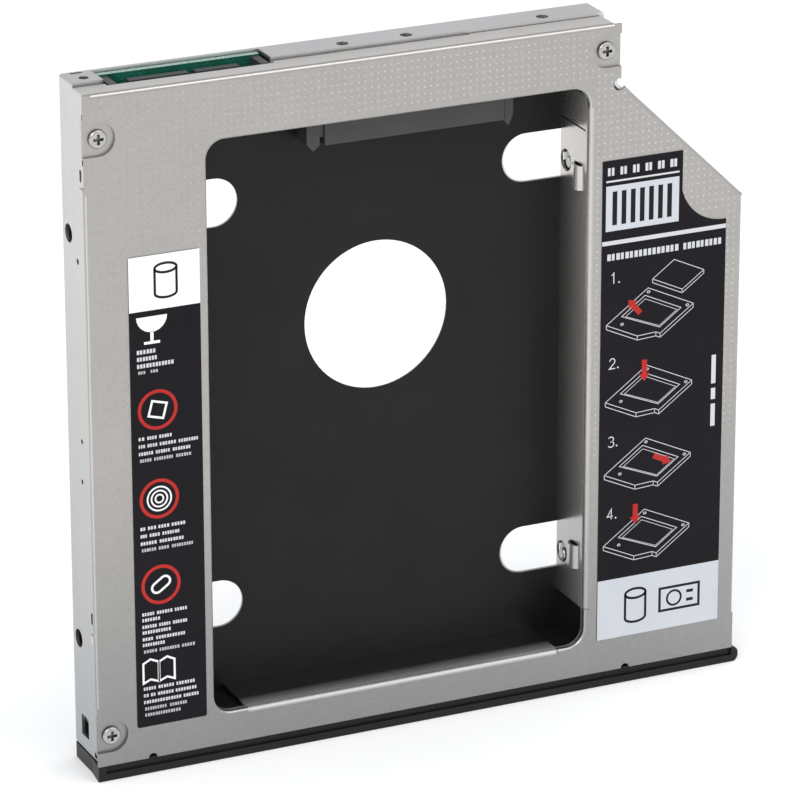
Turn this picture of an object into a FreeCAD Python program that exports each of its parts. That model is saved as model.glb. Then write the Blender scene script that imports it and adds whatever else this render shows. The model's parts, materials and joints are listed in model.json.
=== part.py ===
import FreeCAD, Part
import os
import math

# Slim-bay caddy that carries a 2.5-inch drive in place of an optical drive.
# All sizes in millimetres. It is drawn flat: x to the right, y from the bezel
# (0) to the connector end, z from the rear plate (0) to the front cover.
# At the end every piece is stood up on its bezel, front cover facing -Y.

V = FreeCAD.Vector

# ---- driving dimensions -------------------------------------------------
W = 128.0            # body width
L_REAR = 129.0       # top of the rear shell
L_FRONT = 128.4      # top of the front cover
T = 12.7             # body thickness
BEZEL_H = 2.9        # bezel strip height
BEZEL_W = 129.3      # bezel length, past the body at the right end
STEP_X = 102.9       # where the narrow neck ends
DIAG_TOP = 117.4     # diagonal corner, upper end
DIAG_LOW = 93.0      # diagonal corner, lower end
T_REAR = 0.6         # rear shell sheet
T_COVER = 0.5        # front cover sheet
T_LINER = 0.3        # black insulating film
WALL_IN = 0.5        # rear shell walls stand inside the cover's lips
WIN_X0, WIN_X1 = 22.7, 96.8      # window in the cover
WIN_Y0, WIN_Y1 = 9.0, 117.2
WIN_R = 3.4
NOTCH_X = (10.5, 105.4)            # notches at the foot of the front
FL_Y0, FL_Y1 = 16.0, 115.2       # side flanges of the window
FL_X0, FL_X1 = 29.2, 91.5        # bottom flange of the window
FL_Z = 0.92                      # flanges reach down to here
SLIT_Y = 108.5
SEAM_Z = 7.3                     # seam of the top flange
JOG_Z = 6.6                      # joggle in the rear shell's top wall
HOLE_C = (60.0, 76.1)            # round hole in the rear plate
HOLE_R = 14.3
SLOT_H = 9.2                     # drive screw slots
SLOT_YU, SLOT_YL = 101.6, 25.0   # 76.6 apart, as the drive's own holes
SLOT_LEFT = (14.5, 33.4)
SLOT_RIGHT = (85.4, 104.0)
SIDE_YU, SIDE_YL = 100.9, 24.3   # side screw holes
SIDE_HOLE_Z = 3.1
SIDE_HOLE_R = 1.7
HOST = (6.2, 37.4, 1.3, 8.3)     # connector cut-out: x0, x1, z0, z1
SCREWS = {"top_left": (2.7, 120.4), "top_right": (100.0, 123.6), "bottom_left": (2.7, 8.6)}
PAD_R = 3.1
PAD_Z = T - 0.6                  # floor of the screw pads
BOARD_Z = 1.6
BOARD_T = 1.2
BOARD = (5.2, 94.0, 117.6, 127.0)
BOARD_SCREWS = ((41.0, 123.2), (88.0, 121.6))
CON_X0, CON_X1 = 47.3, 82.2      # drive connector body
CON_Y = 111.7
LABEL_T = 0.12


# ---- helpers --------------------------------------------------------------
def box(x0, x1, y0, y1, z0, z1):
    return Part.makeBox(x1 - x0, y1 - y0, z1 - z0, V(x0, y0, z0))


def prism(pts, z0, z1):
    w = Part.makePolygon([V(x, y, z0) for x, y in pts] + [V(pts[0][0], pts[0][1], z0)])
    return Part.Face(w).extrude(V(0, 0, z1 - z0))


def cyl(x, y, z0, z1, r):
    return Part.makeCylinder(r, z1 - z0, V(x, y, z0), V(0, 0, 1))


def cyl_x(x0, x1, y, z, r):
    return Part.makeCylinder(r, x1 - x0, V(x0, y, z), V(1, 0, 0))


def cyl_y(y0, y1, x, z, r):
    return Part.makeCylinder(r, y1 - y0, V(x, y0, z), V(0, 1, 0))


def slot(x0, x1, yc, h, z0, z1):
    r = h / 2.0
    s = box(x0 + r, x1 - r, yc - r, yc + r, z0, z1)
    return s.fuse([cyl(x0 + r, yc, z0, z1, r), cyl(x1 - r, yc, z0, z1, r)]).removeSplitter()


def rslab(x0, x1, y0, y1, z0, z1, r):
    b = box(x0, x1, y0, y1, z0, z1)
    es = [e for e in b.Edges if abs(e.Vertexes[0].X - e.Vertexes[1].X) < 1e-6 and abs(e.Vertexes[0].Y - e.Vertexes[1].Y) < 1e-6]
    return b.makeFillet(r, es)


def outline(d, x_left=0.0, x_right=W, y_low=BEZEL_H, y_top=L_FRONT):
    # body outline moved inwards by d; the diagonal keeps its own offset
    dx, dy = W - STEP_X, DIAG_TOP - DIAG_LOW
    n = math.hypot(dx, dy)
    nx, ny = dy / n, dx / n          # outward normal of the diagonal
    # diagonal: nx*x + ny*y = c
    c = nx * W + ny * DIAG_LOW - d
    xs = STEP_X - d
    xr = x_right - d
    return [(x_left + d, y_low + d), (xr, y_low + d), (xr, (c - nx * xr) / ny),
            (xs, (c - nx * xs) / ny), (xs, y_top - d), (x_left + d, y_top - d)]


def vertical(s, inside):
    out = []
    for e in s.Edges:
        a, b = e.Vertexes[0].Point, e.Vertexes[-1].Point
        if abs(a.x - b.x) < 1e-6 and abs(a.y - b.y) < 1e-6 and inside(a.x, a.y):
            out.append(e)
    return out


# ---- rear shell -------------------------------------------------------------
def rear_shell():
    o = outline(WALL_IN, y_low=BEZEL_H - WALL_IN, y_top=L_REAR + WALL_IN)
    ztop = T - T_COVER
    body = prism(o, 0, ztop)
    es = vertical(body, lambda x, y: not (abs(x - (STEP_X - WALL_IN)) < 0.01 and y < L_REAR - 1))
    body = body.makeFillet(0.5, es)
    low = [e for e in body.Edges if all(abs(v.Z) < 1e-6 for v in e.Vertexes)]
    body = body.makeFillet(0.48, low)
    i = outline(WALL_IN + T_REAR, y_low=BEZEL_H - WALL_IN, y_top=L_REAR + WALL_IN)
    cav = prism(i, T_REAR, ztop + 1)
    cav = cav.makeFillet(0.6, vertical(cav, lambda x, y: True))
    # joggled upper part of the top wall
    web = box(WALL_IN, STEP_X - WALL_IN, L_FRONT - T_COVER - T_REAR - 0.05, L_REAR + 1, JOG_Z - T_REAR, ztop + 2)
    cav = cav.cut(web)
    shell = body.cut(cav)
    shell = shell.cut(box(-1, STEP_X + 1, L_FRONT - T_COVER - 0.05, L_REAR + 1, JOG_Z, ztop + 1))
    cuts = [cyl(HOLE_C[0], HOLE_C[1], -1, 2, HOLE_R)]
    for yc in (SLOT_YU, SLOT_YL):
        cuts.append(slot(SLOT_LEFT[0], SLOT_LEFT[1], yc, SLOT_H, -1, 2))
        cuts.append(slot(SLOT_RIGHT[0], SLOT_RIGHT[1], yc, SLOT_H, -1, 2))
    # left wall: drive screw access holes, small holes, ovals, edge notches
    for yc in (SIDE_YU, SIDE_YL):
        cuts.append(cyl_x(-1, 2, yc, SIDE_HOLE_Z, SIDE_HOLE_R))
    for y, z, r in ((96.9, 7.2, 0.55), (63.4, 7.1, 0.45), (55.7, 6.8, 0.45)):
        cuts.append(cyl_x(-1, 2, y, z, r))
    for y, z in ((113.2, 9.5), (30.6, 9.9)):
        cuts.append(box(-1, 2, y - 0.7, y + 0.7, z - 0.45, z + 0.45))
        cuts.append(cyl_x(-1, 2, y - 0.7, z, 0.45))
        cuts.append(cyl_x(-1, 2, y + 0.7, z, 0.45))
    cuts.append(box(-1, 2, 5.8, 9.8, 3.5, 6.9))
    cuts.append(box(-1, 2, 123.5, 124.6, 10.6, 13))
    cuts.append(box(-1, 2, 115.3, 116.4, 10.4, 13))
    cuts.append(box(-1, 2, 3.6, 4.6, 9.6, 10.8))
    # the walls stop lower under the cover's screw pads
    for k, (x, y) in SCREWS.items():
        if k == "top_right":
            cuts.append(box(x, STEP_X + 1, y - PAD_R - 0.6, y + PAD_R + 0.6, PAD_Z - T_COVER, T + 1))
        else:
            cuts.append(box(-1, x, y - PAD_R - 0.6, y + PAD_R + 0.6, PAD_Z - T_COVER, T + 1))
    # bezel clip slots in the bottom wall
    for x in (18.0, 64.0, 110.0):
        cuts.append(box(x - 3.3, x + 3.3, 1.5, 4.2, 4.3, 8.3))
    # top wall: connector cut-out and bracket holes
    cuts.append(box(HOST[0], HOST[1], 126, 131, HOST[2], HOST[3]))
    cuts.append(cyl_y(126, 131, 3.5, 4.3, 0.9))
    for x in (52.0, 64.3, 91.0):
        cuts.append(cyl_y(126, 131, x, 4.6, 1.1))
    cuts.append(box(2.2, 4.4, 128.0, 130, 0.9, 1.6))
    # small notches at the foot of the front, through cover and shell
    for x in NOTCH_X:
        cuts.append(cyl(x, BEZEL_H, 9.5, T + 1, 0.85))
    return shell.cut(cuts)


# ---- front cover ------------------------------------------------------------
def front_cover():
    z0 = T - T_COVER
    o = outline(0)
    plate = prism(o, z0, T)
    plate = plate.makeFillet(1.4, vertical(plate, lambda x, y: x > 127 and y > 80))
    # lips along the sides and the diagonal
    lip = prism(o, 11.5, T - 0.2).cut(prism(outline(T_COVER), 11, T + 1))
    lip = lip.cut([box(-1, 2, 0, 14.0, 11, 14), box(-1, 2, 110.6, 130, 11, 14),
                   box(-1, 129, 0, 4.4, 11, 14), box(-1, 104.5, 114.5, 130, 11, 14),
                   box(126, 129, 0, 10, 11, 14)])
    tabs = [box(0, T_COVER, 109.1, 111.2, 10.0, T - 0.2), box(0, T_COVER, 26.0, 27.9, 10.2, T - 0.2),
            box(0, T_COVER, 116.9, 122.7, 11.0, PAD_Z - 0.1)]
    # top flange, lying in the joggle of the rear shell
    top = [box(0.3, 75.5, L_FRONT - T_COVER, L_FRONT, SEAM_Z, T - 0.2),
           box(75.5, 101.6, L_FRONT - T_COVER, L_FRONT, SEAM_Z - 0.4, T - 0.2)]
    # inner flanges of the window, below the short lip that runs all round it
    zl = T - 1.5
    right = box(WIN_X1, WIN_X1 + T_COVER, FL_Y0, FL_Y1, FL_Z, zl + 0.2)
    left = box(WIN_X0 - T_COVER, WIN_X0, FL_Y0, FL_Y1, FL_Z, zl + 0.2)
    bottom = box(FL_X0, FL_X1, WIN_Y0 - T_COVER, WIN_Y0, FL_Z, zl + 0.2)
    m = 1.8
    frame = rslab(WIN_X0 - m, WIN_X1 + m, WIN_Y0 - m, WIN_Y1 + m, zl, T, WIN_R + m)
    hole = rslab(WIN_X0, WIN_X1, WIN_Y0, WIN_Y1, zl - 1, T + 1, WIN_R)
    frame = frame.cut(hole)
    rim = [e for e in frame.Edges if e.BoundBox.ZMin > T - 1e-4 and e.BoundBox.XMin > WIN_X0 - 0.1 and e.BoundBox.XMax < WIN_X1 + 0.1
           and e.BoundBox.YMin > WIN_Y0 - 0.1 and e.BoundBox.YMax < WIN_Y1 + 0.1]
    frame = frame.makeFillet(0.7, rim)
    t = T_COVER
    under = rslab(WIN_X0 - m - 1, WIN_X1 + m + 1, WIN_Y0 - m - 1, WIN_Y1 + m + 1, zl - 1, z0, WIN_R + m + 1)
    under = under.cut(rslab(WIN_X0 - t, WIN_X1 + t, WIN_Y0 - t, WIN_Y1 + t, zl - 2, z0 + 1, WIN_R + t))
    frame = frame.cut(under)
    # wider bends where the long flanges leave the front face
    q = 1.5
    bends = []
    for s, x in ((1, WIN_X1),):
        a, b = sorted((x - s * 0.2, x + s * q))
        y0, y1 = FL_Y0, 113.4
        frame = frame.cut(box(a, b, y0, y1, T - q, T + 1))
        ring = cyl_y(y0, y1, x + s * q, T - q, q).cut(cyl_y(y0 - 1, y1 + 1, x + s * q, T - q, q - t))
        bends.append(ring.common(box(a, b, y0, y1, T - q, T + 1)))
    frame = frame.cut(box(FL_X0, FL_X1, WIN_Y0 - q, WIN_Y0 + 0.2, T - q, T + 1))
    ring = cyl_x(FL_X0, FL_X1, WIN_Y0 - q, T - q, q).cut(cyl_x(FL_X0 - 1, FL_X1 + 1, WIN_Y0 - q, T - q, q - t))
    bends.append(ring.common(box(FL_X0, FL_X1, WIN_Y0 - q, WIN_Y0 + 0.2, T - q, T + 1)))
    # recessed pads for the three screws, open to the edge
    pads, rec = [], []
    for k, (x, y) in SCREWS.items():
        if k == "top_right":
            xe0, xe1 = x, STEP_X
        else:
            xe0, xe1 = 0.0, x
        pads.append(cyl(x, y, PAD_Z - T_COVER, T, PAD_R + 0.5).common(box(0.0, STEP_X, 0, 130, 0, 20)))
        pads.append(box(xe0, xe1, y - PAD_R - 0.5, y + PAD_R + 0.5, PAD_Z - T_COVER, T))
        rec.append(cyl(x, y, PAD_Z, T + 1, PAD_R))
        rec.append(box(xe0 - (0 if k == "top_right" else 1), xe1 + (1 if k == "top_right" else 0),
                       y - PAD_R, y + PAD_R, PAD_Z, T + 1))
        rec.append(cyl(x, y, 5, T + 1, 1.15))
    plate = plate.cut(rslab(WIN_X0 - m, WIN_X1 + m, WIN_Y0 - m, WIN_Y1 + m, z0 - 1, T + 1, WIN_R + m))
    cov = plate.fuse([frame, lip, right, left, bottom] + bends + tabs + top + pads).removeSplitter()
    cov = cov.cut(rec)
    # slit across both side flanges above the upper screw hole
    cov = cov.cut([box(WIN_X1 - 0.5, WIN_X1 + 1.0, SLIT_Y, SLIT_Y + 0.35, 0, 10.9), box(WIN_X0 - 1.0, WIN_X0 + 0.5, SLIT_Y, SLIT_Y + 0.35, 0, 10.9)])
    cov = cov.cut([box(HOST[0], HOST[1], L_FRONT - 1, L_FRONT + 1, SEAM_Z - 1, HOST[3]),
                   cyl(NOTCH_X[0], BEZEL_H, z0 - 1, T + 1, 0.85), cyl(NOTCH_X[1], BEZEL_H, z0 - 1, T + 1, 0.85),
                   cyl(STEP_X - 0.3, DIAG_TOP - 0.3, z0 - 2.5, T + 1, 1.15),
                   cyl_x(WIN_X0 - 2, WIN_X0 + 1, SIDE_YU, SIDE_HOLE_Z, 2.1), cyl_x(WIN_X0 - 2, WIN_X0 + 1, SIDE_YL, SIDE_HOLE_Z, 2.1),
                   cyl_x(WIN_X1 - 1, WIN_X1 + 2, SIDE_YU, SIDE_HOLE_Z, 2.1), cyl_x(WIN_X1 - 1, WIN_X1 + 2, SIDE_YL, SIDE_HOLE_Z, 2.1)])
    # pressed catches beside the side holes, bulging into the bay
    add = []
    for yc in (SIDE_YU - 1.6, SIDE_YL + 1.2):
        for s, x in ((1, WIN_X1), (-1, WIN_X0)):
            a, b = sorted((x - s * 0.3, x + s * (T_COVER + 0.2)))
            cov = cov.cut(box(a, b, yc - 2.6, yc + 2.6, 6.6, 9.6))
            c = x + s * 0.95
            bump = cyl_y(yc - 2.3, yc + 2.3, c, 8.1, 2.0).cut(cyl_y(yc - 3, yc + 3, c, 8.1, 1.55))
            a, b = sorted((x - s * 2.0, x + s * 0.4))
            add.append(bump.common(box(a, b, yc - 3, yc + 3, 5, 11)))
    cov = cov.fuse(add).removeSplitter()
    # rounded bends where the flanges and lips leave the front face
    tools = []
    r = 0.6
    tools.append(box(-0.2, r, 14.0, 110.6, T - r, T + 0.2).cut(cyl_y(13, 112, r, T - r, r)))
    tools.append(box(W - r, W + 0.2, 10.0, DIAG_LOW - 0.3, T - r, T + 0.2).cut(cyl_y(9, DIAG_LOW + 1, W - r, T - r, r)))
    tools.append(box(1.4, 101.6, L_FRONT - r, L_FRONT + 0.2, T - r, T + 0.2).cut(cyl_x(0, 103, L_FRONT - r, T - r, r)))
    # the diagonal: same tool, turned into place
    dx, dy = W - STEP_X, DIAG_TOP - DIAG_LOW
    n = math.hypot(dx, dy)
    t = box(2.6, n - 0.3, -r, 0.2, T - r, T + 0.2).cut(cyl_x(0, n, -r, T - r, r))
    t.rotate(V(0, 0, 0), V(0, 0, 1), -math.degrees(math.atan2(dy, dx)))
    t.translate(V(STEP_X, DIAG_TOP, 0))
    tools.append(t)
    return cov.cut(tools)


# ---- black film lining the bay ----------------------------------------------
def bay_liner():
    x0, x1, y0, y1 = WIN_X0 - 0.85, WIN_X1 + 0.85, WIN_Y0 - 1.2, 115.6
    s = box(x0, x1, y0, y1, T_REAR, T_REAR + T_LINER)
    s = s.fuse([box(x0, x0 + T_LINER, y0, y1, T_REAR, 11.1), box(x1 - T_LINER, x1, y0, y1, T_REAR, 11.1),
                box(x0, x1, y0, y0 + T_LINER, T_REAR, 11.1)]).removeSplitter()
    cuts = [cyl(HOLE_C[0], HOLE_C[1], -1, 2, HOLE_R - 0.25)]
    for yc in (SLOT_YU, SLOT_YL):
        cuts.append(slot(SLOT_LEFT[0], SLOT_LEFT[1] - 0.1, yc, SLOT_H - 0.1, -1, T_REAR + T_LINER + 0.01))
        cuts.append(slot(SLOT_RIGHT[0] - 0.4, SLOT_RIGHT[1], yc, SLOT_H + 0.1, -1, T_REAR + T_LINER + 0.01))
    for yc in (SIDE_YU, SIDE_YL):
        cuts.append(cyl_x(x0 - 1, x0 + 1, yc, SIDE_HOLE_Z, 2.3))
        cuts.append(cyl_x(x1 - 1, x1 + 1, yc, SIDE_HOLE_Z, 2.3))
    return s.cut(cuts)


# ---- bezel -------------------------------------------------------------------
def bezel():
    b = box(0, BEZEL_W, 0, BEZEL_H, 0, T)
    es = vertical(b, lambda x, y: x > 100)
    b = b.makeFillet(1.2, es)
    # the left end tapers in to stand flush with the shell
    w = Part.makePolygon([V(a, -1, c) for a, c in ((-1, -1), (0.95, -1), (0.95, 0.0), (0.45, 0.5), (0.45, T - 4.5), (0.0, T - 0.4), (-1, T - 0.4), (-1, -1))])
    b = b.cut(Part.Face(w).extrude(V(0, BEZEL_H + 2, 0)))
    b = b.cut(box(1.4, BEZEL_W - 1.4, 1.35, BEZEL_H + 1, T - 0.55, T + 1))
    b = b.cut(box(2.0, BEZEL_W - 2.0, 1.5, BEZEL_H + 1, 1.6, T - 2.2))
    for x in (18.0, 64.0, 110.0):
        b = b.fuse([box(x - 2.8, x + 2.8, 1.2, 6.4, 5.2, 7.2), box(x - 2.8, x + 2.8, 4.7, 6.4, 5.2, 8.0)])
    return b.removeSplitter()


# ---- board and connectors -----------------------------------------------------
def adapter_board():
    x0, x1, y0, y1 = BOARD
    s = prism([(x0, y0 + 1.5), (x0 + 1.5, y0), (x1, y0), (x1, y1 - 1.5), (x1 - 1.5, y1), (x0, y1)], BOARD_Z, BOARD_Z + BOARD_T)
    # tongue of the board under the connector that shows in the cut-out
    s = s.fuse(box(HOST[0] + 0.5, HOST[1] - 0.5, y1 - 1, 128.6, BOARD_Z, BOARD_Z + BOARD_T)).removeSplitter()
    return s.cut([cyl(x, y, 0, 5, 1.05) for x, y in BOARD_SCREWS])


def drive_connector_housing():
    z0, z1 = BOARD_Z + BOARD_T, 7.5
    h = box(CON_X0, CON_X1, CON_Y, 119.6, z0, z1).fuse(box(CON_X0 + 1, CON_X1 - 1, CON_Y, BOARD[2] - 0.05, 2.0, z1))
    posts = [prism([(44.0, CON_Y + 0.4), (45.2, CON_Y - 1.0), (46.5, CON_Y - 0.1), (46.5, 119.6), (44.0, 119.6)], z0, z1 - 0.5),
             prism([(82.5, CON_Y - 0.4), (83.3, CON_Y - 1.3), (84.2, CON_Y + 0.6), (84.2, 119.6), (82.5, 119.6)], z0, z1 - 0.5),
             box(46.3, CON_X0 + 0.1, 113.2, 119.6, z0, z1 - 0.5), box(CON_X1 - 0.1, 82.6, 115.4, 119.6, z0, z1 - 0.5)]
    h = h.fuse(posts).removeSplitter()
    # mouth with its key between the signal and power parts
    h = h.cut([box(CON_X0 + 1.2, CON_X0 + 12.0, CON_Y - 1, CON_Y + 5.0, 3.6, 6.2),
               box(CON_X0 + 13.3, CON_X1 - 1.0, CON_Y - 1, CON_Y + 5.0, 3.6, 6.2)])
    return h


def drive_connector_contacts():
    out = []
    for i in range(7):
        out.append(box(CON_X0 + 2.6 + 1.27 * i - 0.25, CON_X0 + 2.6 + 1.27 * i + 0.25, CON_Y + 0.6, CON_Y + 5.0, 5.75, 6.2))
    for i in range(15):
        out.append(box(CON_X0 + 14.9 + 1.27 * i - 0.25, CON_X0 + 14.9 + 1.27 * i + 0.25, CON_Y + 0.6, CON_Y + 5.0, 5.75, 6.2))
    tails = []
    for i in range(26):
        x = CON_X0 + 2.2 + 1.27 * i
        tails.append(box(x - 0.2, x + 0.2, 119.6, 121.0, BOARD_Z + BOARD_T, BOARD_Z + BOARD_T + 0.25))
    return Part.makeCompound(out + tails)


def host_connector_housing():
    x0, x1 = HOST[0] + 0.6, HOST[1] - 0.6
    z0, z1 = BOARD_Z + BOARD_T, HOST[3] - 0.6
    h = box(x0, x1, 118.8, 124.0, z0, z1)
    h = h.fuse([box(x0, x0 + 1.5, 123.0, 128.3, z0, z1), box(x1 - 1.5, x1, 123.0, 128.3, z0, z1)])
    # the two tongues that carry the contacts, with the key gap between them
    h = h.fuse([box(11.3, 22.4, 123.5, 127.9, z0 + 1.5, z0 + 3.1), box(23.8, 31.9, 123.5, 127.9, z0 + 1.5, z0 + 3.1)])
    return h.removeSplitter()


def host_connector_contacts():
    z = BOARD_Z + BOARD_T + 3.1
    out = []
    for i in range(8):
        x = 12.4 + 1.27 * i
        out.append(box(x - 0.25, x + 0.25, 124.0, 127.4, z, z + 0.15))
    for i in range(6):
        x = 24.7 + 1.27 * i
        out.append(box(x - 0.25, x + 0.25, 124.0, 127.4, z, z + 0.15))
    return Part.makeCompound(out)


def board_capacitors():
    z = BOARD_Z + BOARD_T
    out = []
    for x, y, a, b, h in ((52.5, 124.0, 2.0, 1.25, 0.9), (57.0, 124.0, 2.0, 1.25, 0.9), (61.5, 124.0, 2.0, 1.25, 0.9),
                          (66.0, 124.0, 2.0, 1.25, 0.9), (72.0, 124.2, 3.2, 1.6, 1.2), (78.0, 124.2, 3.5, 2.8, 1.9)):
        out.append(box(x - a / 2, x + a / 2, y - b / 2, y + b / 2, z, z + h))
    return Part.makeCompound(out)


def power_switcher():
    # small regulator chip with its body chamfered
    z = BOARD_Z + BOARD_T
    b = box(37.6, 41.2, 118.3, 121.3, z, z + 1.1)
    return b


# ---- screws, bosses, standoffs, pins -----------------------------------------
def cross(x, y, z, w=0.55, half=0.95, d=0.6):
    return [box(x - half, x + half, y - w / 2, y + w / 2, z - d, z + 1), box(x - w / 2, x + w / 2, y - half, y + half, z - d, z + 1)]


def cover_screw(x, y):
    head = cyl(x, y, PAD_Z, PAD_Z + 0.7, 1.7)
    top = [e for e in head.Edges if abs(e.BoundBox.ZMin - (PAD_Z + 0.7)) < 1e-6 and abs(e.BoundBox.ZMax - (PAD_Z + 0.7)) < 1e-6]
    head = head.makeFillet(0.45, top)
    s = head.fuse(cyl(x, y, 6.0, PAD_Z, 0.95)).removeSplitter()
    return s.cut(cross(x, y, PAD_Z + 0.7))


def cover_boss(x, y):
    return cyl(x, y, T_REAR, PAD_Z - T_COVER, 1.5).cut(cyl(x, y, 4.5, 20, 0.95))


def board_screws():
    z = BOARD_Z + BOARD_T
    out = []
    for x, y in BOARD_SCREWS:
        s = cyl(x, y, z, z + 0.9, 1.8).fuse(cyl(x, y, 0.9, z, 0.95)).removeSplitter()
        out.append(s.cut(cross(x, y, z + 0.9)))
    return Part.makeCompound(out)


def board_standoffs():
    return Part.makeCompound([cyl(x, y, T_REAR, BOARD_Z, 2.2).cut(cyl(x, y, 0.9, 5, 0.95)) for x, y in BOARD_SCREWS])


def drive_locating_pins():
    # discs behind the liner, each with a rounded pin standing into the hole
    out = []
    for s, x in ((1, WIN_X1), (-1, WIN_X0)):
        for y, reach in ((SIDE_YL, -0.3), (SIDE_YU, 0.35)):
            a, b = sorted((x + s * 0.87, x + s * 1.2))
            disc = cyl_x(a, b, y, SIDE_HOLE_Z, 2.6)
            f = x + s * reach
            a, b = sorted((f, x + s * 1.0))
            tip = cyl_x(a, b, y - 0.45, SIDE_HOLE_Z + 0.25, 1.15)
            far = [e for e in tip.Edges if abs(e.BoundBox.XMin - f) < 1e-6 and abs(e.BoundBox.XMax - f) < 1e-6]
            out.append(disc.fuse(tip.makeFillet(0.5 if reach < 0 else 0.3, far)).removeSplitter())
    return Part.makeCompound(out)


def left_label():
    return rslab(7.6, 21.0, 9.2, 98.2, T, T + LABEL_T, 0.4)


def right_label():
    # outline with the stepped and curved upper right corner
    x0, x1, y0, y1 = 99.4, 124.7, 9.4, 103.0
    pts = [V(x0, y0, T), V(x1, y0, T), V(x1, 88.7, T)]
    edges = [Part.LineSegment(pts[0], pts[1]).toShape(), Part.LineSegment(pts[1], pts[2]).toShape()]
    edges.append(Part.Arc(V(x1, 88.7, T), V(118.6, 90.7, T), V(115.6, 95.4, T)).toShape())
    edges.append(Part.LineSegment(V(115.6, 95.4, T), V(115.6, y1, T)).toShape())
    edges.append(Part.LineSegment(V(115.6, y1, T), V(x0, y1, T)).toShape())
    edges.append(Part.LineSegment(V(x0, y1, T), pts[0]).toShape())
    return Part.Face(Part.Wire(edges)).extrude(V(0, 0, LABEL_T))


NODES = {
    "rear_shell": rear_shell, "front_cover": front_cover, "bay_liner": bay_liner, "bezel": bezel,
    "adapter_board": adapter_board, "drive_connector_housing": drive_connector_housing,
    "drive_connector_contacts": drive_connector_contacts, "host_connector_housing": host_connector_housing,
    "host_connector_contacts": host_connector_contacts, "board_capacitors": board_capacitors,
    "power_switcher": power_switcher, "board_screws": board_screws, "board_standoffs": board_standoffs,
    "drive_locating_pins": drive_locating_pins, "left_label": left_label, "right_label": right_label,
}
for _k, (_x, _y) in SCREWS.items():
    NODES["cover_screw_" + _k] = (lambda x=_x, y=_y: cover_screw(x, y))
    NODES["cover_boss_" + _k] = (lambda x=_x, y=_y: cover_boss(x, y))


def place(s):
    # stand the part on its bezel; the front cover faces -Y
    s = s.copy()
    s.rotate(V(0, 0, 0), V(1, 0, 0), 90)
    s.translate(V(-BEZEL_W / 2.0, (T + LABEL_T) / 2.0, 0))
    return s


os.makedirs("parts", exist_ok=True)
for name, make in NODES.items():
    s = make()
    ok = s.isValid()
    p = place(s)
    b = p.BoundBox
    print("%-26s valid %s solids %d vol %.1f  box %.2f..%.2f %.2f..%.2f %.2f..%.2f" % (
        name, ok, len(p.Solids), p.Volume, b.XMin, b.XMax, b.YMin, b.YMax, b.ZMin, b.ZMax))
    p.exportStep("parts/%s.step" % name)
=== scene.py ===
import json
import math
import bpy
import bmesh
from mathutils import Matrix, Vector


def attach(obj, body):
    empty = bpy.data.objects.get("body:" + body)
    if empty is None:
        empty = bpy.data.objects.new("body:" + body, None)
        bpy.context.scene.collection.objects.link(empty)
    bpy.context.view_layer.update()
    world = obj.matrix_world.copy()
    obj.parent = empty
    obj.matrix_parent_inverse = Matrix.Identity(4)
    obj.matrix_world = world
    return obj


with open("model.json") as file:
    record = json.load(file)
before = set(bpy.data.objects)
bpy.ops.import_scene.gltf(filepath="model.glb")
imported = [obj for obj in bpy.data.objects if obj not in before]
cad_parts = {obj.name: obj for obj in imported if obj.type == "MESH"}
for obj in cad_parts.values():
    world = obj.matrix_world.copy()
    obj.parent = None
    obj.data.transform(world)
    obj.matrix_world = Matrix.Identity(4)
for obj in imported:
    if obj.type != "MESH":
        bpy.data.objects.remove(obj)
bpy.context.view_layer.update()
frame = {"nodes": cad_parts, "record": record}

# ---------------------------------------------------------------- frame
# sizes are given in mm in the flat drawing frame: x right, y from the bezel
# up, z from the rear plate towards the front cover
HALF_W = 129.3 / 2.0
MID_T = (12.7 + 0.12) / 2.0


def P(x, y, z):
    return Vector(((x - HALF_W) / 1000.0, -(z - MID_T) / 1000.0, y / 1000.0))


# ---------------------------------------------------------------- camera
cam_data = bpy.data.cameras.new("camera")
cam = bpy.data.objects.new("camera", cam_data)
bpy.context.scene.collection.objects.link(cam)
CAM_AT = Vector((-0.36386, -0.78818, 0.39229))
CAM_RIGHT = Vector((0.90878, -0.41728, -0.00134)).normalized()
CAM_FWD = Vector((0.38938, 0.84916, -0.35682)).normalized()
CAM_UP = CAM_RIGHT.cross(CAM_FWD).normalized()
m = Matrix((CAM_RIGHT, CAM_UP, -CAM_FWD)).transposed().to_4x4()
m.translation = CAM_AT
cam.matrix_world = m
cam_data.sensor_fit = "HORIZONTAL"
cam_data.sensor_width = 36.0
cam_data.lens = 36.0 * 5144.6 / 800.0
cam_data.clip_start = 0.01
cam_data.clip_end = 50.0
bpy.context.scene.camera = cam
bpy.context.scene.view_settings.view_transform = "Standard"


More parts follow.
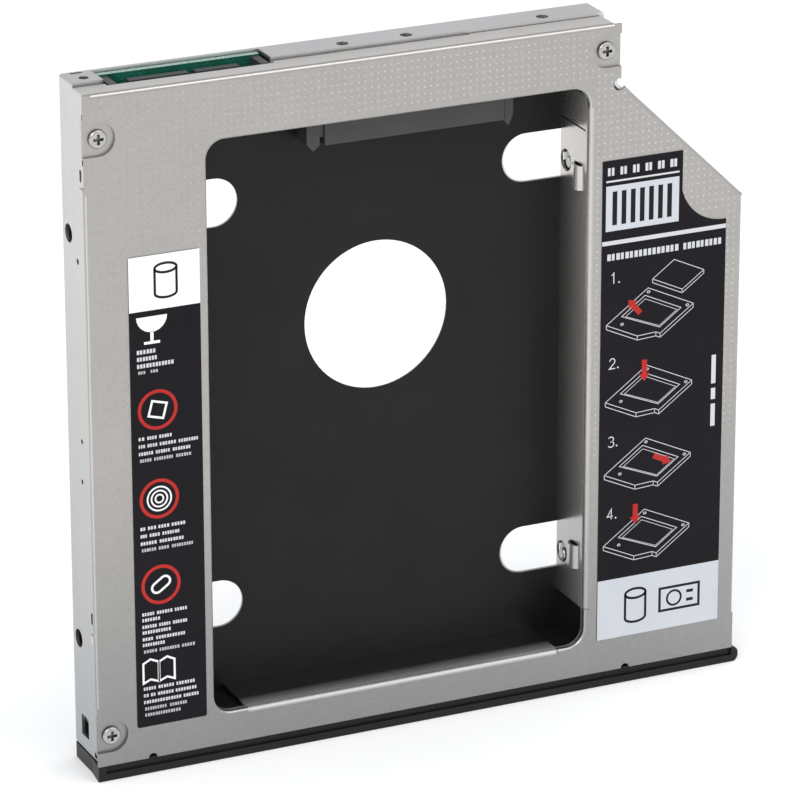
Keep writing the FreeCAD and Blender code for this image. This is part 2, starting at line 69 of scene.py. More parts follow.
# ---------------------------------------------------------------- materials
class Mat:
    def __init__(self, name):
        self.m = bpy.data.materials.new(name)
        self.m.use_nodes = True
        self.t = self.m.node_tree
        for n in list(self.t.nodes):
            self.t.nodes.remove(n)
        self.out = self.t.nodes.new("ShaderNodeOutputMaterial")
        self.b = self.t.nodes.new("ShaderNodeBsdfPrincipled")
        self.t.links.new(self.b.outputs[0], self.out.inputs[0])
        self.tc = self.t.nodes.new("ShaderNodeTexCoord")

    def n(self, kind, **inputs):
        nd = self.t.nodes.new(kind)
        for k, v in inputs.items():
            nd.inputs[k].default_value = v
        return nd

    def link(self, a, b):
        self.t.links.new(a, b)

    def mapping(self, scale):
        mp = self.t.nodes.new("ShaderNodeMapping")
        mp.inputs["Scale"].default_value = scale
        self.link(self.tc.outputs["Object"], mp.inputs["Vector"])
        return mp.outputs[0]

    def noise(self, scale, detail=3.0, rough=0.5, vec=None):
        nd = self.t.nodes.new("ShaderNodeTexNoise")
        nd.inputs["Scale"].default_value = scale
        nd.inputs["Detail"].default_value = detail
        nd.inputs["Roughness"].default_value = rough
        self.link(vec if vec else self.tc.outputs["Object"], nd.inputs["Vector"])
        return nd

    def ramp(self, src, stops):
        nd = self.t.nodes.new("ShaderNodeValToRGB")
        e = nd.color_ramp.elements
        e[0].position, e[0].color = stops[0][0], stops[0][1]
        e[1].position, e[1].color = stops[-1][0], stops[-1][1]
        for p, c in stops[1:-1]:
            x = e.new(p)
            x.color = c
        self.link(src, nd.inputs[0])
        return nd.outputs[0]

    def bump(self, height, strength, dist):
        nd = self.t.nodes.new("ShaderNodeBump")
        nd.inputs["Strength"].default_value = strength
        nd.inputs["Distance"].default_value = dist
        self.link(height, nd.inputs["Height"])
        return nd.outputs[0]

    def math(self, op, a, b=None, c=None, clamp=False):
        nd = self.t.nodes.new("ShaderNodeMath")
        nd.operation = op
        nd.use_clamp = clamp
        for i, v in enumerate((a, b, c)):
            if v is None:
                continue
            if isinstance(v, (int, float)):
                nd.inputs[i].default_value = v
            else:
                self.link(v, nd.inputs[i])
        return nd.outputs[0]

    def sep(self):
        nd = self.t.nodes.new("ShaderNodeSeparateXYZ")
        self.link(self.tc.outputs["Object"], nd.inputs[0])
        return nd.outputs


def g(v, a=1.0):
    return (v, v, v, a)


def rgb(r, gg, b):
    return (r, gg, b, 1.0)


def sheet_metal(name, lo, hi, rough_face, rough_in, grain=0.10, metallic=1.0, in_from=-0.0056, foot=(0.8, 0.85, 0.9), mid=1.0, mid_at=0.55, in_gain=1.45, left=None):
    mt = Mat(name)
    mt.b.inputs["Metallic"].default_value = metallic
    big = mt.noise(26.0, 3.0, 0.55)
    col = mt.ramp(big.outputs["Fac"], [(0.30, lo), (0.70, hi)])
    # painted shade: the plating's base colour is a little darker and cooler towards the bezel end (the bottom)
    up = mt.math("MULTIPLY", mt.sep()[2], 1.0 / 0.129, clamp=True)
    painted_shade = mt.ramp(up, [(0.0, rgb(*foot)), (mid_at, g(mid)), (1.0, g(1.0))])
    if left is not None:
        # the pressed dots catch less light towards the left edge
        across = mt.math("MULTIPLY_ADD", mt.sep()[0], 1.0 / 0.060, 0.0640 / 0.060, clamp=True)
        left_shade_mix = mt.t.nodes.new("ShaderNodeMix")
        left_shade_mix.data_type = "RGBA"
        left_shade_mix.blend_type = "MULTIPLY"
        left_shade_mix.inputs[0].default_value = 1.0
        mt.link(painted_shade, left_shade_mix.inputs[6])
        mt.link(mt.ramp(across, [(0.0, g(left)), (1.0, g(1.0))]), left_shade_mix.inputs[7])
        painted_shade = left_shade_mix.outputs[2]
    mul = mt.t.nodes.new("ShaderNodeMix")
    mul.data_type = "RGBA"
    mul.blend_type = "MULTIPLY"
    mul.inputs[0].default_value = 1.0
    speck = mt.noise(1.0, 2.0, 0.6, mt.mapping((1500.0, 1500.0, 1900.0)))
    grit = mt.t.nodes.new("ShaderNodeMix")
    grit.data_type = "RGBA"
    grit.blend_type = "MULTIPLY"
    grit.inputs[0].default_value = 1.0
    mt.link(col, grit.inputs[6])
    mt.link(mt.ramp(speck.outputs["Fac"], [(0.32, g(0.925)), (0.68, g(1.0))]), grit.inputs[7])
    mt.link(grit.outputs[2], mul.inputs[6])
    mt.link(painted_shade, mul.inputs[7])
    mt.link(mul.outputs[2], mt.b.inputs["Base Color"])
    # plating grain, stretched a little along the rolling direction
    fine = mt.noise(1.0, 4.0, 0.6, mt.mapping((2600.0, 2600.0, 900.0)))
    cloud = mt.noise(140.0, 3.0, 0.6)
    base = mt.math("MULTIPLY_ADD", fine.outputs["Fac"], 0.10, rough_face - 0.05)
    base = mt.math("MULTIPLY_ADD", cloud.outputs["Fac"], 0.08, mt.math("ADD", base, -0.04))
    if rough_in is not None:
        # the folded-in flanges keep the smoother mill finish
        y = mt.sep()[1]
        inside = mt.math("MULTIPLY_ADD", y, 1400.0, -in_from * 1400.0, clamp=True)
        diff = mt.math("MULTIPLY", inside, rough_in - rough_face)
        base = mt.math("ADD", base, diff)
        # side flanges: cleaner towards the back, hazier towards the front
        depth = mt.math("MULTIPLY_ADD", y, -1.0 / 0.0100, 0.47, clamp=True)
        side = mt.math("MULTIPLY_ADD", mt.math("POWER", depth, 1.35), 0.34, 0.04)
        low = mt.math("LESS_THAN", mt.sep()[2], 0.0096)
        front = mt.math("MULTIPLY_ADD", y, -1.0 / 0.0045, -0.30, clamp=True)
        foot_haze = mt.math("MULTIPLY", front, 0.55)
        haze = mt.math("ADD", mt.math("MULTIPLY", low, foot_haze), mt.math("MULTIPLY", mt.math("SUBTRACT", 1.0, low), side))
        mt.link(mt.math("SUBTRACT", 1.0, mt.math("MULTIPLY", inside, haze)), mt.b.inputs["Metallic"])
        # painted reflection: the front face's base colour is cut to 1/in_gain of the folded-in flanges', so the flanges
        # show brighter reflections
        gain = mt.ramp(inside, [(0.0, g(1.0 / in_gain)), (1.0, g(1.0))])
        painted_flange_reflection = mt.t.nodes.new("ShaderNodeMix")
        painted_flange_reflection.data_type = "RGBA"
        painted_flange_reflection.blend_type = "MULTIPLY"
        painted_flange_reflection.inputs[0].default_value = 1.0
        mt.link(mul.outputs[2], painted_flange_reflection.inputs[6])
        mt.link(gain, painted_flange_reflection.inputs[7])
        # painted highlight: the plating's base colour is brightened on the bends where the sheet turns away from the
        # front
        sn = mt.t.nodes.new("ShaderNodeSeparateXYZ")
        mt.link(mt.tc.outputs["Normal"], sn.inputs[0])
        off = mt.math("ABSOLUTE", mt.math("ADD", sn.outputs[1], 0.66))
        bend = mt.math("MULTIPLY_ADD", off, -3.6, 1.0, clamp=True)
        painted_bend_highlight = mt.t.nodes.new("ShaderNodeMix")
        painted_bend_highlight.data_type = "RGBA"
        painted_bend_highlight.blend_type = "MULTIPLY"
        painted_bend_highlight.inputs[0].default_value = 1.0
        mt.link(painted_flange_reflection.outputs[2], painted_bend_highlight.inputs[6])
        mt.link(mt.ramp(mt.math("MULTIPLY", bend, mt.math("SUBTRACT", 1.0, inside)), [(0.0, g(1.0)), (0.7, g(1.5))]), painted_bend_highlight.inputs[7])
        mt.link(painted_bend_highlight.outputs[2], mt.b.inputs["Base Color"])
    mt.link(base, mt.b.inputs["Roughness"])
    mt.link(mt.bump(fine.outputs["Fac"], grain, 0.00003), mt.b.inputs["Normal"])
    return mt.m


def plastic(name, lo, hi, rough, tex_scale=3500.0, bump=0.25, dist=0.00003, spec=0.5):
    mt = Mat(name)
    big = mt.noise(60.0, 3.0, 0.5)
    mt.link(mt.ramp(big.outputs["Fac"], [(0.3, lo), (0.7, hi)]), mt.b.inputs["Base Color"])
    fine = mt.noise(tex_scale, 2.0, 0.5)
    mt.link(mt.math("MULTIPLY_ADD", fine.outputs["Fac"], 0.10, rough - 0.05), mt.b.inputs["Roughness"])
    mt.b.inputs["Specular IOR Level"].default_value = spec
    mt.link(mt.bump(fine.outputs["Fac"], bump, dist), mt.b.inputs["Normal"])
    return mt.m


def plated(name, lo, hi, rough, dark_from=None):
    mt = Mat(name)
    mt.b.inputs["Metallic"].default_value = 1.0
    big = mt.noise(900.0, 3.0, 0.5)
    col = mt.ramp(big.outputs["Fac"], [(0.3, lo), (0.7, hi)])
    if dark_from is not None:
        # painted shade: darker base colour in the foot of the cross recesses of the cover screws
        deep = mt.math("MULTIPLY_ADD", mt.sep()[1], 6000.0, -dark_from * 6000.0, clamp=True)
        front = mt.math("LESS_THAN", mt.sep()[1], dark_from + 0.0006)
        painted_shade = mt.ramp(mt.math("MULTIPLY", deep, front), [(0.0, g(1.0)), (1.0, g(0.28))])
        mul = mt.t.nodes.new("ShaderNodeMix")
        mul.data_type = "RGBA"
        mul.blend_type = "MULTIPLY"
        mul.inputs[0].default_value = 1.0
        mt.link(col, mul.inputs[6])
        mt.link(painted_shade, mul.inputs[7])
        col = mul.outputs[2]
    mt.link(col, mt.b.inputs["Base Color"])
    mt.link(mt.math("MULTIPLY_ADD", big.outputs["Fac"], 0.12, rough - 0.06), mt.b.inputs["Roughness"])
    return mt.m


def board(name):
    """green solder mask with faint tracks and a pale cut edge at the connector end"""
    mt = Mat(name)
    big = mt.noise(260.0, 3.0, 0.5)
    mask = mt.ramp(big.outputs["Fac"], [(0.35, rgb(0.008, 0.075, 0.050)), (0.65, rgb(0.014, 0.115, 0.078))])
    tracks = mt.t.nodes.new("ShaderNodeTexBrick")
    tracks.inputs["Scale"].default_value = 420.0
    tracks.inputs["Mortar Size"].default_value = 0.04
    tracks.inputs["Color1"].default_value = g(1.0)
    tracks.inputs["Color2"].default_value = g(0.86)
    tracks.inputs["Mortar"].default_value = g(1.35)
    mp = mt.t.nodes.new("ShaderNodeMapping")
    mp.inputs["Rotation"].default_value = (math.radians(90), 0.0, 0.0)
    mt.link(mt.tc.outputs["Object"], mp.inputs["Vector"])
    mt.link(mp.outputs[0], tracks.inputs["Vector"])
    mul = mt.t.nodes.new("ShaderNodeMix")
    mul.data_type = "RGBA"
    mul.blend_type = "MULTIPLY"
    mul.inputs[0].default_value = 1.0
    mt.link(mask, mul.inputs[6])
    mt.link(tracks.outputs["Color"], mul.inputs[7])
    edge = mt.math("GREATER_THAN", mt.sep()[2], 0.128585)
    mix = mt.t.nodes.new("ShaderNodeMix")
    mix.data_type = "RGBA"
    mt.link(edge, mix.inputs[0])
    mt.link(mul.outputs[2], mix.inputs[6])
    pale = mt.noise(2200.0, 2.0, 0.6)
    mt.link(mt.ramp(pale.outputs["Fac"], [(0.35, rgb(0.10, 0.24, 0.19)), (0.65, rgb(0.42, 0.55, 0.48))]), mix.inputs[7])
    mt.link(mix.outputs[2], mt.b.inputs["Base Color"])
    mt.link(mt.math("MULTIPLY_ADD", big.outputs["Fac"], 0.12, 0.20), mt.b.inputs["Roughness"])
    mt.link(mt.bump(big.outputs["Fac"], 0.10, 0.00003), mt.b.inputs["Normal"])
    return mt.m


M = {}
M["cover_sheet"] = sheet_metal("cover_sheet", rgb(0.583, 0.560, 0.534), rgb(0.622, 0.597, 0.570), 0.38, 0.20, foot=(0.715, 0.75, 0.785), mid=1.02, mid_at=0.47)
M["shell_sheet"] = sheet_metal("shell_sheet", rgb(0.655, 0.648, 0.64), rgb(0.715, 0.708, 0.70), 0.38, None, foot=(0.60, 0.635, 0.66), mid=0.80, mid_at=0.5)
M["dimple"] = sheet_metal("dimple", rgb(0.56, 0.54, 0.52), rgb(0.66, 0.64, 0.62), 0.34, None, foot=(0.715, 0.75, 0.785), mid=1.02, mid_at=0.47, left=0.74)
M["black_film"] = plastic("black_film", g(0.007), g(0.010), 0.38, 1800.0, 0.12, 0.00002, 0.20)
M["bezel_plastic"] = plastic("bezel_plastic", g(0.007), g(0.010), 0.42, 5200.0, 0.30, 0.00004, 0.25)
M["connector_plastic"] = plastic("connector_plastic", g(0.034), g(0.048), 0.45, 2600.0, 0.25)
M["chip_body"] = plastic("chip_body", g(0.02), g(0.026), 0.5, 2600.0, 0.2)
M["capacitor_body"] = plastic("capacitor_body", rgb(0.30, 0.21, 0.12), rgb(0.34, 0.24, 0.14), 0.45, 2600.0, 0.1)
M["board_green"] = board("board_green")
M["contact_gold"] = plated("contact_gold", rgb(0.75, 0.52, 0.20), rgb(0.82, 0.60, 0.26), 0.25)
M["screw_nickel"] = plated("screw_nickel", rgb(0.42, 0.41, 0.395), rgb(0.50, 0.49, 0.475), 0.30, dark_from=-0.00613)
# painted shade: the standoff brass is darkened to a dull grey-brass, standing in for the shade in the holes the
# standoffs sit in
M["standoff_brass"] = plated("standoff_brass", rgb(0.34, 0.28, 0.19), rgb(0.40, 0.33, 0.23), 0.34)
M["label_dark"] = plastic("label_dark", rgb(0.008, 0.007, 0.009), rgb(0.011, 0.009, 0.012), 0.34, 700.0, 0.05, 0.00002, 0.10)
M["print_white"] = plastic("print_white", rgb(0.86, 0.87, 0.88), rgb(0.90, 0.91, 0.92), 0.38, 700.0, 0.05, 0.00002, 0.4)
M["print_lilac"] = plastic("print_lilac", rgb(0.55, 0.57, 0.61), rgb(0.59, 0.61, 0.65), 0.38, 700.0, 0.05, 0.00002, 0.4)
M["print_soft"] = plastic("print_soft", rgb(0.58, 0.59, 0.61), rgb(0.63, 0.64, 0.66), 0.38, 700.0, 0.05, 0.00002, 0.4)
M["print_grey"] = plastic("print_grey", rgb(0.42, 0.43, 0.44), rgb(0.46, 0.47, 0.48), 0.40, 700.0, 0.05, 0.00002, 0.4)
M["print_red"] = plastic("print_red", rgb(0.42, 0.018, 0.015), rgb(0.48, 0.023, 0.018), 0.38, 700.0, 0.05, 0.00002, 0.2)
M["print_dark"] = plastic("print_dark", rgb(0.008, 0.008, 0.011), rgb(0.011, 0.011, 0.014), 0.38, 700.0, 0.05, 0.00002, 0.15)

for part in frame["record"]["subparts"]:
    ob = frame["nodes"][part["node"]]
    mat = M[part["material_slot"]]
    if not ob.material_slots:
        ob.data.materials.append(mat)
    for s in ob.material_slots:
        s.material = mat


# ---------------------------------------------------------------- mesh helpers
def new_obj(name, bm, mat, smooth=False):
    me = bpy.data.meshes.new(name)
    bmesh.ops.recalc_face_normals(bm, faces=bm.faces)
    bm.to_mesh(me)
    bm.free()
    ob = bpy.data.objects.new(name, me)
    bpy.context.scene.collection.objects.link(ob)
    me.materials.append(M[mat])
    if smooth:
        for p in me.polygons:
            p.use_smooth = True
    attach(ob, "root")
    return ob


def add_prism(bm, pts, z0, z1):
    """closed flat piece from an outline in flat-frame mm"""
    n = len(pts)
    lo = [bm.verts.new(P(x, y, z0)) for x, y in pts]
    hi = [bm.verts.new(P(x, y, z1)) for x, y in pts]
    bm.faces.new(lo)
    bm.faces.new(list(reversed(hi)))
    for i in range(n):
        j = (i + 1) % n
        bm.faces.new((lo[i], hi[i], hi[j], lo[j]))


def ribbon(bm, pts, w, z0, z1, closed=False):
    """a drawn line of width w along points"""
    pts = [Vector((x, y)) for x, y in pts]
    n = len(pts)
    L, R = [], []
    for i, p in enumerate(pts):
        if closed:
            a, b = pts[(i - 1) % n], pts[(i + 1) % n]
        else:
            a, b = pts[max(i - 1, 0)], pts[min(i + 1, n - 1)]
        d1 = (p - a).normalized() if (p - a).length > 1e-9 else None
        d2 = (b - p).normalized() if (b - p).length > 1e-9 else None
        if d1 is None:
            d1 = d2
        if d2 is None:
            d2 = d1
        t = (d1 + d2)
        t = t.normalized() if t.length > 1e-6 else d1
        nrm = Vector((-t.y, t.x))
        k = max(0.35, nrm.dot(Vector((-d1.y, d1.x))))
        h = 0.5 * w / k
        L.append(p + nrm * h)
        R.append(p - nrm * h)
    vl = [[bm.verts.new(P(q.x, q.y, z)) for q in L] for z in (z0, z1)]
    vr = [[bm.verts.new(P(q.x, q.y, z)) for q in R] for z in (z0, z1)]
    m_ = n if closed else n - 1
    for i in range(m_):
        j = (i + 1) % n
        bm.faces.new((vl[1][i], vl[1][j], vr[1][j], vr[1][i]))
        bm.faces.new((vl[0][i], vr[0][i], vr[0][j], vl[0][j]))
        bm.faces.new((vl[0][i], vl[0][j], vl[1][j], vl[1][i]))
        bm.faces.new((vr[0][i], vr[1][i], vr[1][j], vr[0][j]))
    if not closed:
        for i in (0, n - 1):
            bm.faces.new((vl[0][i], vl[1][i], vr[1][i], vr[0][i]))


def rect(x0, x1, y0, y1):
    return [(x0, y0), (x1, y0), (x1, y1), (x0, y1)]


def arc(cx, cy, rx, ry, a0, a1, n):
    return [(cx + rx * math.cos(math.radians(a0 + (a1 - a0) * i / n)), cy + ry * math.sin(math.radians(a0 + (a1 - a0) * i / n))) for i in range(n + 1)]


# ---------------------------------------------------------------- dimpled face
T = 12.7
L_FRONT = 128.4
W = 128.0
STEP_X, DIAG_TOP, DIAG_LOW = 102.9, 117.4, 93.0
SCREWS = ((2.7, 120.4, 0), (100.0, 123.6, 1), (2.7, 8.6, 0))


def on_cover(x, y):
    e = 0.8
    if x < e or x > W - e or y < 4.2 or y > L_FRONT - e:
        return False
    if x > STEP_X - e and y > DIAG_TOP - 1.0:
        return False
    if x > STEP_X - 1.5:
        dx, dy = W - STEP_X, DIAG_TOP - DIAG_LOW
        n = math.hypot(dx, dy)
        if (x - W) * dy / n + (y - DIAG_LOW) * dx / n > -0.9:
            return False
    if 22.7 - 1.1 < x < 96.8 + 1.1 and 9.0 - 1.1 < y < 117.2 + 1.1:
        return False
    if 7.6 - 0.3 < x < 21.0 + 0.3 and 9.2 - 0.3 < y < 98.2 + 0.3:
        return False
    if 99.4 - 0.3 < x < 124.7 + 0.3 and 9.4 - 0.3 < y < 103.0 + 0.3:
        if not (x > 115.6 + 0.3 and y > 90.5 + 0.25 * max(0.0, 122 - x)):
            return False
    for sx, sy, right in SCREWS:
        if math.hypot(x - sx, y - sy) < 3.5:
            return False
        if abs(y - sy) < 3.5 and ((right and x > sx) or (not right and x < sx)):
            return False
    if math.hypot(x - 102.6, y - 117.1) < 1.6:
        return False
    return True


bm = bmesh.new()
PITCH = 1.27
R1, R2, H2 = 0.20, 0.115, 0.055
nx = int(W / PITCH) + 1
ny = int(L_FRONT / PITCH) + 1
for i in range(nx):
    for j in range(ny):
        x = 0.7 + i * PITCH
        y = 1.0 + j * PITCH
        if not on_cover(x, y):
            continue
        fade = min(1.0, max(0.0, (y - 42.0) / 30.0)) * (0.42 + 0.58 * min(1.0, max(0.0, (x - 6.0) / 45.0)))
        fade *= 0.8 + 0.2 * math.sin(12.9898 * i + 78.233 * j)
        if fade < 0.12:
            continue
        x += 0.05 * math.sin(7.1 * i + 3.3 * j)
        y += 0.05 * math.sin(5.7 * i - 4.9 * j)
        h2 = H2 * fade
        rings = []
        for r, z in ((R1, T - 0.01), (R1, T + 0.004 * fade), (R2, T + h2 * 0.74)):
            r = r * (0.75 + 0.25 * fade)
            rings.append([bm.verts.new(P(x + r * math.cos(k * math.pi / 4), y + r * math.sin(k * math.pi / 4), z)) for k in range(8)])
        top = bm.verts.new(P(x, y, T + h2))
        bm.faces.new(rings[0])
        for a, b in ((0, 1), (1, 2)):
            for k in range(8):
                l = (k + 1) % 8
                bm.faces.new((rings[a][k], rings[a][l], rings[b][l], rings[b][k]))
        for k in range(8):
            bm.faces.new((rings[2][k], rings[2][(k + 1) % 8], top))
new_obj("cover_dimples", bm, "dimple", smooth=True)

# ---------------------------------------------------------------- label print
Z0 = T + 0.12
ZB, ZM, ZT = Z0 - 0.01, Z0 + 0.012, Z0 + 0.022


def strokes(name, mat, items):
    b = bmesh.new()
    for kind, *a in items:
        if kind == "p":
            add_prism(b, a[0], ZB, a[1] if len(a) > 1 else ZM)
        elif kind == "l":
            ribbon(b, a[0], a[1], ZB, a[3] if len(a) > 3 else ZM, a[2] if len(a) > 2 else False)
    return new_obj(name, b, mat)


def block_row(x0, x1, y, h, shares):
    """a row of small plain blocks of one height, in groups; shares gives the width of each group"""
    out = []
    tot = float(sum(shares)) + 0.6 * (len(shares) - 1)
    k = (x1 - x0) / tot
    x = x0
    for w_ in shares:
        span = w_ * k
        n = max(1, int(round(span / (0.62 * h + 0.12))))
        step = span / n
        for i in range(n):
            a = x + i * step
            b = a + step * (0.70 + 0.08 * math.sin(17.3 * a + 9.1 * y))
            out.append(("p", rect(a, b, y - h / 2, y + h / 2)))
        x += (w_ + 0.6) * k
    return out


# --- left label
white, red, grey, soft = [], [], [], []
LX0, LX1 = 7.6, 21.0
strokes("left_label_block", "print_white", [("p", rect(LX0 + 0.02, LX1 - 0.02, 88.1, 98.18))])
# plain cylinder outline on the white block
cx, top_y, bot_y, rx, ry = 14.55, 96.0, 91.0, 2.05, 0.85
dk = [("l", arc(cx, top_y - 0.4, rx, ry, 0, 360, 40)[:-1], 0.46, True, ZT),
      ("l", [(cx - rx, top_y - 0.4)] + arc(cx, bot_y, rx, ry, 180, 360, 24) + [(cx + rx, top_y - 0.4)], 0.46, False, ZT)]
strokes("left_label_block_mark", "print_dark", dk)
# plain marks and bars down the dark field
x0 = 8.9
white.append(("p", [(x0 + 2.9 + 2.9 * math.cos(math.radians(a)), 87.0 + 2.9 * math.sin(math.radians(a))) for a in range(180, 361, 15)]))
white.append(("p", rect(x0 + 2.6, x0 + 3.2, 82.4, 84.2)))
white.append(("p", rect(x0 + 1.4, x0 + 4.4, 81.9, 82.4)))
for y, x1, ww in ((80.6, 12.6, [1]), (79.3, 12.8, [1]), (78.0, 15.9, [1])):
    soft += block_row(x0, x1, y, 0.75, ww)
grey += block_row(x0 + 0.2, 12.9, 76.8, 0.55, [1, 1])


def ring(cx, cy, r, w_):
    return ("l", arc(cx, cy, r, r, 0, 360, 48)[:-1], w_, True)


for cy, k in ((69.5, 0), (52.7, 1), (36.3, 2)):
    c = 12.6
    red.append(ring(c, cy, 3.45, 0.62))
    if k == 0:
        q = [(c + 2.0 * math.cos(math.radians(a)), cy + 2.0 * math.sin(math.radians(a))) for a in (30, 120, 210, 300)]
        white.append(("l", q, 0.4, True, ZT))
    elif k == 1:
        for rr in (0.75, 1.5, 2.25):
            white.append(("l", arc(c, cy, rr, rr, 0, 360, 36)[:-1], 0.3, True, ZT))
    else:
        # tilted capsule outline
        cap = arc(0.95, 0.0, 0.95, 0.95, -90, 90, 12) + arc(-0.95, 0.0, 0.95, 0.95, 90, 270, 12)
        cs, sn = math.cos(math.radians(35)), math.sin(math.radians(35))
        white.append(("l", [(c + px * cs - py * sn, cy + px * sn + py * cs) for px, py in cap], 0.42, True, ZT))
for y, x1, ww in ((64.4, 15.3, [2, 3, 4]), (63.0, 20.3, [2, 3, 5, 6]), (61.6, 18.8, [4, 4, 5]),
                  (47.4, 17.6, [2, 3, 4, 5]), (46.0, 16.4, [2, 3, 5]), (44.6, 17.2, [4, 6]),
                  (31.0, 17.6, [4, 5, 4]), (29.9, 12.4, [1]), (28.6, 17.6, [5, 4, 5]), (27.5, 14.4, [1]), (26.2, 17.2, [3, 8]), (25.1, 13.2, [1]),
                  (16.6, 18.9, [4, 5, 6]), (15.3, 19.2, [2, 2, 6, 8]), (14.0, 19.6, [12, 5])):
    soft += block_row(x0, x1, y, 0.62, ww)
for y, x1, ww in ((60.3, 18.9, [3, 5, 4]), (43.3, 19.0, [4, 3, 6]), (23.8, 19.0, [4, 6, 4]), (12.7, 17.3, [5, 4]), (11.5, 16.0, [6])):
    grey += block_row(x0 + 0.2, x1, y, 0.6, ww)
# open pair of pages
white.append(("l", [(8.9, 21.5), (10.3, 22.2), (11.85, 21.5), (11.85, 17.7), (10.3, 18.3), (8.9, 17.7)], 0.38, True, ZT))
white.append(("l", [(11.95, 21.5), (13.5, 22.2), (14.9, 21.5), (14.9, 17.7), (13.5, 18.3), (11.95, 17.7)], 0.38, True, ZT))
strokes("left_label_marks", "print_white", white)
strokes("left_label_rows", "print_soft", soft)
strokes("left_label_small_marks", "print_grey", grey)
strokes("left_label_rings", "print_red", red)

# --- right label
RX0, RX1 = 99.4, 124.7
white, red, grey = [], [], []
white.append(("p", rect(100.1, 114.9, 98.9, 99.25)))
white.append(("p", rect(RX0 + 0.02, RX1 - 0.02, 86.95, 87.75)))
# header panel: plain light field with a row of contact-like bars
strokes("right_label_panel", "print_lilac", [("p", rect(100.1, 114.9, 89.6, 98.2))])
strokes("right_label_panel_bars", "print_dark", [("p", rect(101.4 + 1.85 * i, 102.35 + 1.85 * i, 90.7, 97.1), ZT) for i in range(7)])
white += block_row(100.4, 114.6, 100.9, 1.5, [1, 1, 1, 1, 1, 1])
white += block_row(100.5, 124.0, 84.6, 1.25, [11, 6])


def iso(ox, oy, s, pts):
    """plain oblique view of a flat plate: u runs down right, v up right"""
    ux, uy = 0.90, -0.42
    vx, vy = 0.78, 0.56
    return [(ox + s * (u * ux + v * vx), oy + s * (u * uy + v * vy + w_)) for u, v, w_ in pts]


def tray(ox, oy, s, lines, drive_shift=None):
    # plate outline with one cut corner, a window and its thickness
    plate = [(0, 0, 0), (7.2, 0, 0), (9.6, 2.2, 0), (10.6, 2.2, 0), (10.6, 11, 0), (0, 11, 0)]
    lines.append(("l", iso(ox, oy, s, plate), 0.135, True))
    low = [(u, v, w_ - 0.8) for u, v, w_ in plate[:5]]
    lines.append(("l", iso(ox, oy, s, low), 0.135, False))
    for k in (0, 1, 2, 3, 4):
        lines.append(("l", iso(ox, oy, s, [plate[k], low[k]]), 0.135, False))
    lines.append(("l", iso(ox, oy, s, [(0.9, 3.0, 0), (9.3, 3.5, 0), (9.3, 9.2, 0), (0.9, 9.2, 0)]), 0.135, True))
    lines.append(("l", iso(ox, oy, s, [(1.4, 3.5, -0.2), (8.8, 4.0, -0.2), (8.8, 8.7, -0.2), (1.4, 8.7, -0.2)]), 0.10, True))
    for c in ((2.4, 1.4), (0.8, 10.2), (9.9, 10.2)):
        q = iso(ox, oy, s, [(c[0], c[1], 0)])[0]
        lines.append(("l", arc(q[0], q[1], 0.28, 0.2, 0, 360, 10)[:-1], 0.14, True))


def arrow(x0_, y0_, x1_, y1_, w_=1.05):
    d = Vector((x1_ - x0_, y1_ - y0_))
    ln = d.length
    d.normalize()
    nn = Vector((-d.y, d.x))
    a = Vector((x0_, y0_))
    h = a + d * (ln - 1.5)
    tip = a + d * ln
    q = [a - nn * w_ / 2, h - nn * w_ / 2, h - nn * w_ * 1.05, tip, h + nn * w_ * 1.05, h + nn * w_ / 2, a + nn * w_ / 2]
    return ("p", [(v.x, v.y) for v in q], ZT + 0.004)


S = 0.98
for cy, k in ((69.0, 0), (54.0, 1), (39.7, 2), (25.6, 3)):
    tray(100.5, cy + 2.6, S, white)
# loose drive above the first tray, with its end faces
ox, oy = 109.8, 79.2
d = [(0, 0, 0), (6.8, 0, 0), (6.8, 5.6, 0), (0, 5.6, 0)]
white.append(("l", iso(ox, oy, 1.0, d), 0.135, True))
white.append(("l", iso(ox, oy, 1.0, [(0, 0, -0.7), (6.8, 0, -0.7), (6.8, 5.6, -0.7)]), 0.135, False))
for q in ((0, 0), (6.8, 0), (6.8, 5.6)):
    white.append(("l", iso(ox, oy, 1.0, [(q[0], q[1], 0), (q[0], q[1], -0.7)]), 0.135, False))
red.append(arrow(107.4, 73.0, 104.9, 75.9))
red.append(arrow(108.4, 63.8, 108.4, 59.6))
red.append(arrow(110.6, 44.6, 114.2, 42.8))
red.append(arrow(107.0, 35.6, 107.0, 31.6))


# step numbers, drawn with strokes
def digit(d_, x, y, h):
    w_ = 0.62 * h
    c = {"1": [[(0.2, 0.78), (0.55, 1.0), (0.55, 0.0)]],
         "2": [[(0.05, 0.75)] + arc(0.5, 0.72, 0.42, 0.28, 165, -35, 10) + [(0.02, 0.02), (0.98, 0.02)]],
         "3": [arc(0.45, 0.75, 0.42, 0.25, 150, -85, 10) + arc(0.45, 0.27, 0.48, 0.27, 80, -150, 12)],
         "4": [[(0.95, 0.27), (0.02, 0.27), (0.68, 1.0), (0.68, 0.0)]]}[d_]
    return [("l", [(x + px * w_, y + py * h) for px, py in line], 0.20) for line in c]


for d_, y in (("1", 79.5), ("2", 63.0), ("3", 47.7), ("4", 33.4)):
    white += digit(d_, 101.2, y, 2.0)
    white.append(("p", rect(102.8, 103.1, y, y + 0.3)))
# upright bars at the right edge
yy = 48.5
for ln in (4.4, 2.2, 5.6):
    white.append(("p", rect(122.3, 123.2, yy, yy + ln)))
    yy += ln + 0.9
strokes("right_label_lines", "print_soft", white)
strokes("right_label_arrows", "print_red", red)
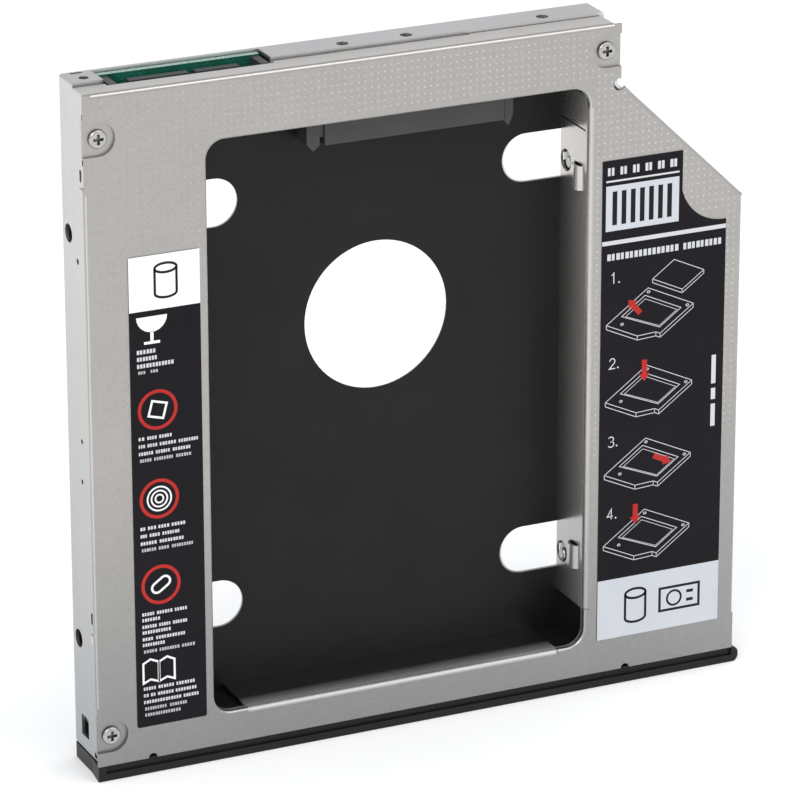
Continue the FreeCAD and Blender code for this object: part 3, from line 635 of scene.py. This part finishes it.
# light block at the foot with a plain cylinder outline and a plain disc mark
strokes("right_label_block", "print_lilac", [("p", rect(RX0 + 0.02, RX1 - 0.02, 9.42, 21.3))])
cx, top_y, bot_y, rx, ry = 107.3, 18.1, 12.9, 2.1, 0.95
dk = [("l", arc(cx, top_y - 0.4, rx, ry, 0, 360, 40)[:-1], 0.48, True, ZT),
      ("l", [(cx - rx, top_y - 0.4)] + arc(cx, bot_y, rx, ry, 180, 360, 24) + [(cx + rx, top_y - 0.4)], 0.48, False, ZT),
      ("l", rect(112.4, 120.6, 13.1, 17.6), 0.5, True, ZT),
      ("l", arc(115.4, 15.35, 1.45, 1.45, 0, 360, 28)[:-1], 0.42, True, ZT),
      ("p", rect(118.0, 119.4, 14.2, 14.8), ZT), ("p", rect(118.0, 119.4, 15.9, 16.5), ZT)]
strokes("right_label_block_mark", "print_dark", dk)

# ---------------------------------------------------------------- stage and light
bm = bmesh.new()
S_ = 4.0
vs = [bm.verts.new((x, y, -0.0001)) for x, y in ((-S_, -S_), (S_, -S_), (S_, S_), (-S_, S_))]
bm.faces.new(vs)
me = bpy.data.meshes.new("floor")
bm.to_mesh(me)
bm.free()
floor = bpy.data.objects.new("floor", me)
bpy.context.scene.collection.objects.link(floor)
fm = Mat("floor_paper")
fm.link(fm.ramp(fm.noise(6.0).outputs["Fac"], [(0.3, g(0.94)), (0.7, g(0.955))]), fm.b.inputs["Base Color"])
fm.b.inputs["Roughness"].default_value = 0.9
fm.b.inputs["Emission Color"].default_value = (1.0, 1.0, 1.0, 1.0)
fm.b.inputs["Emission Strength"].default_value = 0.09
fm.b.inputs["Specular IOR Level"].default_value = 0.1
me.materials.append(fm.m)

world = bpy.data.worlds.new("studio")
bpy.context.scene.world = world
world.use_nodes = True
bg = world.node_tree.nodes["Background"]
bg.inputs[0].default_value = (0.95, 0.97, 1.0, 1.0)
bg.inputs[1].default_value = 0.73


def area(name, at, look, size, power, colour=(1, 1, 1)):
    ld = bpy.data.lights.new(name, "AREA")
    ld.shape = "RECTANGLE"
    ld.size, ld.size_y = size
    ld.energy = power
    ld.color = colour
    ob = bpy.data.objects.new(name, ld)
    bpy.context.scene.collection.objects.link(ob)
    ob.location = at
    ob.rotation_euler = (Vector(look) - Vector(at)).to_track_quat("-Z", "Y").to_euler()
    return ob


area("key", (-0.9, -0.7, 1.1), (0, 0, 0.06), (0.9, 0.9), 8.5, (1.0, 0.99, 0.97))
area("fill", (0.9, -1.0, 0.7), (0, 0, 0.06), (0.9, 0.9), 2.0)
area("top", (0.45, -0.35, 1.3), (0, 0, 0.0), (1.2, 1.2), 6.0)
